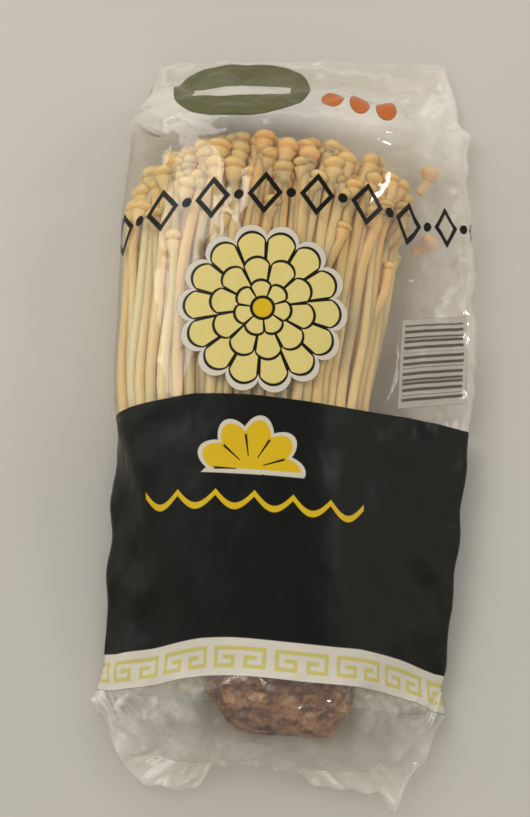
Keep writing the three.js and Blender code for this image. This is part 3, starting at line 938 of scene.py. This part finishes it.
def box_distance(across, along, left, right, low, high):
    """Distance to the edge of an upright rectangle, below 0 inside it."""
    beside = beyond(across, (left + right) / 2, (right - left) / 2)
    return larger(beside, beyond(along, (low + high) / 2, (high - low) / 2))


def length_of(across, along):
    return root(add(times(across, across), times(along, along)))


ink = {"colour": None, "cover": None}


def lay_ink(mask, colour, opacity):
    """Prints a colour over what is there, where the mask says."""
    if ink["colour"] is None:
        flat_colour = nodes.new("ShaderNodeRGB")
        flat_colour.outputs[0].default_value = colour
        ink["colour"] = flat_colour.outputs[0]
        ink["cover"] = times(mask, opacity)
        return
    over = nodes.new("ShaderNodeMix")
    over.data_type = "RGBA"
    links.new(mask, over.inputs["Factor"])
    links.new(ink["colour"], over.inputs["A"])
    over.inputs["B"].default_value = colour
    ink["colour"] = over.outputs["Result"]
    ink["cover"] = larger(ink["cover"], times(mask, opacity))


def print_front(distance, colour, opacity):
    """Lays ink inside a motif's edge, on the front of the sleeve only."""
    lay_ink(times(inked(distance), on_front), colour, opacity)


# The printed edges waver a little and droop at both sides, as film does when it is stretched over
# something rounded.
waver_height = 0.35
waver_turn = 0.13
sag_start = 20.0
sag_width = 27.0
sag_power = 1.25
sag_share = 0.045
droop_start_u = -24.0
droop_slope = 0.15
droop_limit = 4.0
v_band = add(v, times(sine(times(u, waver_turn)), waver_height))
aside = larger(beyond(u, 1.0, sag_start), 0.0)
v_border = add(v_band, times(power(smaller(aside, sag_width), sag_power), sag_share))
left_droop = times(larger(less(droop_start_u, u), 0.0), droop_slope)
v_top = add(v_band, smaller(left_droop, droop_limit))

black_ink = srgb(18, 20, 16)
white_ink = srgb(226, 220, 204)
yellow_ink = srgb(222, 184, 30)
pale_yellow_ink = srgb(228, 210, 130)
border_yellow_ink = srgb(214, 202, 120)
halo_ink = srgb(226, 218, 200)
fan_rim_ink = srgb(214, 206, 186)
bar_ground_ink = srgb(208, 201, 188)
stripe_ink = srgb(214, 208, 192)
olive_ink = srgb(98, 98, 62)
orange_ink = srgb(200, 108, 48)
grey_ink = srgb(96, 90, 76)

# Band and border, all round the sleeve.
band_top_v = -2.6
band_low_v = -62.5
border_low_v = -71.6
lay_ink(inked(larger(less(v_top, band_top_v), less(band_low_v, v_border))), black_ink, 1.0)
border = larger(less(v_border, band_low_v), less(border_low_v, v_border))
lay_ink(inked(border), white_ink, 0.93)

# Key pattern: pairs of square spirals joined by their top bar, repeated round the sleeve.
key_pitch = 15.3
key_low_v = -69.7
key_start_u = -200.0
key_outer, key_inner, key_line, key_height = 6.6, 1.1, 1.0, 5.2
from_middle = size_of(less(remainder(less(u, key_start_u), key_pitch), key_pitch / 2))
key_v = less(v_border, key_low_v)
key_bars = [
    (-1, key_outer, key_height - key_line, key_height),
    (key_outer - key_line, key_outer, 0, key_height),
    (key_inner, key_outer, 0, key_line),
    (key_inner, key_inner + key_line, 0, 3.1),
    (key_inner, 4.2, 2.1, 3.1),
]
key = None
for left, right, low, high in key_bars:
    key_bar = box_distance(from_middle, key_v, left, right, low, high)
    key = key_bar if key is None else smaller(key, key_bar)
lay_ink(inked(key), border_yellow_ink, 0.93)

# Medallion: three rings of pale petals with dark outlines round a small disc, on a pale halo.
medallion_u, medallion_v = -8.4, 20.0
halo_width = 1.6
petal_line = 0.75
petal_roundness = 0.55
vein_width = 0.22
vein_sharpness = 6.0
disc_radius = 3.2
disc_line = 0.8
du, dv = less(u, medallion_u), less(v, medallion_v)
distance = length_of(du, dv)
turn = angle_of(dv, du)


def petal_ring(radius, petals, phase, depth):
    """Distance to a ring of round petals about the medallion's middle, and the wave of its petals."""
    wave = size_of(cosine(scaled(turn, petals / 2, phase)))
    lobed = scaled(power(wave, petal_roundness), radius * depth, radius * (1 - depth))
    return less(distance, lobed), wave


# Radius, number of petals, phase and depth of the notches.
ring_sizes = [(20.2, 14, 0.0, 0.17), (13.6, 10, 0.6, 0.2), (7.6, 7, 0.3, 0.2)]
petal_rings = [petal_ring(*sizes) for sizes in ring_sizes]
print_front(less(petal_rings[0][0], halo_width), halo_ink, 0.88)
for ring, wave in petal_rings:
    print_front(ring, black_ink, 1.0)
    vein = times(less(vein_width, wave), vein_sharpness)
    print_front(larger(add(ring, petal_line), vein), pale_yellow_ink, 0.97)
disc = less(distance, disc_radius)
print_front(disc, black_ink, 1.0)
print_front(add(disc, disc_line), yellow_ink, 1.0)

# Half rosette: a small yellow fan of petals on the black band below the medallion.
fan_u, fan_v = -9.0, -21.0
fan_radius = 9.6
fan_depth = 3.0
fan_half_petals = 4.5
fan_rim = 1.2
fan_vein_start = 3.4
fan_vein_width = 0.16
fan_vein_sharpness = 5.0
fan_line = 0.9
across, along = less(u, fan_u), less(v, fan_v)
fan_distance = length_of(across, along)
fan_wave = size_of(cosine(times(angle_of(along, across), fan_half_petals)))
fan_edge = less(fan_distance, scaled(fan_wave, fan_depth, fan_radius))
fan = larger(fan_edge, times(along, -1.0))
print_front(less(fan, fan_rim), fan_rim_ink, 0.95)
print_front(fan, yellow_ink, 1.0)
fan_vein = times(less(fan_wave, fan_vein_width), fan_vein_sharpness)
fan_vein = larger(fan_vein, less(fan_vein_start, fan_distance))
print_front(larger(add(fan_edge, fan_line), fan_vein), black_ink, 1.0)

# Garland: a plain yellow line of even scallops across the band, under the fan.
garland_u, garland_v = -7.5, -27.2
scallop_width = 9.6
scallop_height = 3.4
garland_half_line = 0.8
garland_half_length = 28.8
scallop = size_of(sine(times(less(u, garland_u), math.pi / scallop_width)))
garland = beyond(add(v_band, times(scallop, scallop_height)), garland_v, garland_half_line)
print_front(larger(garland, beyond(u, garland_u, garland_half_length)), yellow_ink, 1.0)

# Row of open lozenges and dots across the front, over the upper stems. It arches over the bunch and
# rises again on the empty right side.
lozenge_pitch = 13.2
lozenge_start_u = -201.0
lozenge_reach = 2.9
lozenge_share_u, lozenge_share_v = 0.78, 0.62
lozenge_half_line = 0.55
dot_radius = 1.2
row_v, row_middle_u, row_arch, row_curve = 47.2, 2.0, 3.3, -0.0038
rise_start_u, rise_slope = 32.0, 0.52
row_arc = scaled(power(less(u, row_middle_u), 2.0), row_curve, row_arch)
row_rise = times(larger(less(u, rise_start_u), 0.0), rise_slope)
over_row = less(less(v, add(row_arc, row_rise)), row_v)
lozenge_u = size_of(less(remainder(less(u, lozenge_start_u), lozenge_pitch), lozenge_pitch / 2))
lozenge = add(times(lozenge_u, lozenge_share_u), times(size_of(over_row), lozenge_share_v))
lozenge = less(lozenge, lozenge_reach)
dot = less(length_of(less(lozenge_pitch / 2, lozenge_u), over_row), dot_radius)
print_front(smaller(less(size_of(lozenge), lozenge_half_line), dot), black_ink, 1.0)

# Plain bars of ink on the clear right side, of widths that follow two waves and mean nothing.
bar_slant = -0.25
bars_middle_u = 42.0
bar_level, bar_sharpness = 0.1, 0.4
bars_left, bars_right, bars_low, bars_high = 31.0, 49.5, 3.5, 24.0
bar_margin_u, bar_margin_low, bar_margin_high = 1.0, 1.0, 1.5
wide_bars, fine_bars = 4.6, 2.9
bar_v = scaled(less(u, bars_middle_u), bar_slant, v)
bar_wave = add(sine(times(bar_v, wide_bars)), sine(times(bar_v, fine_bars)))
bars = larger(
    box_distance(u, bar_v, bars_left, bars_right, bars_low, bars_high),
    times(less(bar_level, bar_wave), bar_sharpness),
)
ground_low, ground_high = bars_low - bar_margin_low, bars_high + bar_margin_high
bar_ground = box_distance(
    u, bar_v, bars_left - bar_margin_u, bars_right + bar_margin_u, ground_low, ground_high
)
print_front(bar_ground, bar_ground_ink, 0.5)
print_front(bars, grey_ink, 0.93)

# Plain header: an olive oval with a pale stripe and three orange dots at the flat head.
oval_u, oval_v = -17.5, 85.5
oval_half_width, oval_half_height = 17.5, 13.0
oval_power = 2.6
oval_slant = -0.1
oval_scale = 6.0
stripe_drop, stripe_half_height, stripe_half_width = 2.0, 2.6, 12.5
orange_radius, orange_squash = 2.7, 0.7
orange_v, orange_slope = 80.5, 0.16
orange_places_u = (6.0, 13.0, 20.0)
across, along = less(u, oval_u), less(scaled(u, oval_slant, v), oval_v)
wide = power(size_of(divide(across, oval_half_width)), oval_power)
high = power(size_of(divide(along, oval_half_height)), oval_power)
print_front(times(less(root(add(wide, high)), 1.0), oval_scale), olive_ink, 0.96)
stripe = larger(beyond(along, -stripe_drop, stripe_half_height), less(size_of(across), stripe_half_width))
print_front(stripe, stripe_ink, 0.9)
for orange_u in orange_places_u:
    along = times(less(v, orange_v - orange_slope * orange_u), orange_squash)
    print_front(less(length_of(less(u, orange_u), along), orange_radius), orange_ink, 0.95)


# Clear film: see-through with a sharp sheen that grows at a glance, a faint haze, and painted highlights on
# its folds.
least_sheen = 0.035
glance_sheen = 0.55
glance_power = 5.0


def clear_film(tree):
    """The bare film's shader, the normal of its fine wrinkles, and 1 for any ray but a shadow's."""
    facing = tree.nodes.new("ShaderNodeLayerWeight")
    facing.inputs["Blend"].default_value = 0.5
    light_path = tree.nodes.new("ShaderNodeLightPath")
    seen = calc(tree, "SUBTRACT", 1.0, light_path.outputs["Is Shadow Ray"])
    glance = calc(tree, "POWER", facing.outputs["Facing"], glance_power)
    sheen = calc(tree, "MULTIPLY_ADD", glance, glance_sheen, least_sheen)
    sheen = calc(tree, "MULTIPLY", sheen, seen)
    wrinkle = tree.nodes.new("ShaderNodeBump")
    wrinkle.inputs["Distance"].default_value = 0.0005
    wrinkle.inputs["Strength"].default_value = 0.5
    wrinkles = object_noise(tree, scale=210, detail=1, stretch=(1, 0.6, 1), roughness=0.6)
    tree.links.new(wrinkles, wrinkle.inputs["Height"])
    see_through = tree.nodes.new("ShaderNodeBsdfTransparent")
    see_through.inputs["Color"].default_value = (0.99, 0.982, 0.965, 1)
    gloss = tree.nodes.new("ShaderNodeBsdfGlossy")
    gloss.inputs["Roughness"].default_value = 0.05
    tree.links.new(wrinkle.outputs["Normal"], gloss.inputs["Normal"])
    clear = tree.nodes.new("ShaderNodeMixShader")
    tree.links.new(sheen, clear.inputs["Fac"])
    tree.links.new(see_through.outputs["BSDF"], clear.inputs[1])
    tree.links.new(gloss.outputs["BSDF"], clear.inputs[2])
    return clear.outputs["Shader"], wrinkle.outputs["Normal"], seen


clear, wrinkle_normal, seen = clear_film(tree)

# The ink and the haze share one body colour: white where no ink lies. Besides the film's own faint
# milkiness, the haze holds painted highlights on creases, folded edges and crumpled facets, and painted
# light over the shade behind the bunch. A shadow feels only a part of the haze.
least_haze = 0.015
slack_and_highlight_haze = 0.15
crease_highlight_haze = 0.65
shadow_haze = 0.3
bare_sharpness = 20.0
haze_and_highlight = scaled(film_attribute("slack_and_highlight"), slack_and_highlight_haze, least_haze)
haze_and_highlight = scaled(film_attribute("crease_highlight"), crease_highlight_haze, haze_and_highlight)
haze_and_highlight = times(haze_and_highlight, scaled(seen, 1 - shadow_haze, shadow_haze))
bare = less(1.0, smaller(times(ink["cover"], bare_sharpness), 1.0))
body_colour = nodes.new("ShaderNodeMix")
body_colour.data_type = "RGBA"
links.new(bare, body_colour.inputs["Factor"])
links.new(ink["colour"], body_colour.inputs["A"])
body_colour.inputs["B"].default_value = srgb(250, 247, 240)
links.new(body_colour.outputs["Result"], shader.inputs["Base Color"])
links.new(wrinkle_normal, shader.inputs["Normal"])
whole = nodes.new("ShaderNodeMixShader")
links.new(larger(ink["cover"], haze_and_highlight), whole.inputs["Fac"])
links.new(clear, whole.inputs[1])
links.new(shader.outputs["BSDF"], whole.inputs[2])
links.new(whole.outputs["Shader"], nodes["Material Output"].inputs["Surface"])
film.data.materials.append(film_material)

# The inner face of the film is bare.
inner_material, tree, shader = new_material("clear_film_inside", 0.3)
inner_clear, _, _ = clear_film(tree)
tree.links.new(inner_clear, tree.nodes["Material Output"].inputs["Surface"])
tree.nodes.remove(shader)
film.data.materials.append(inner_material)
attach(film, "root")
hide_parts("film_bag")
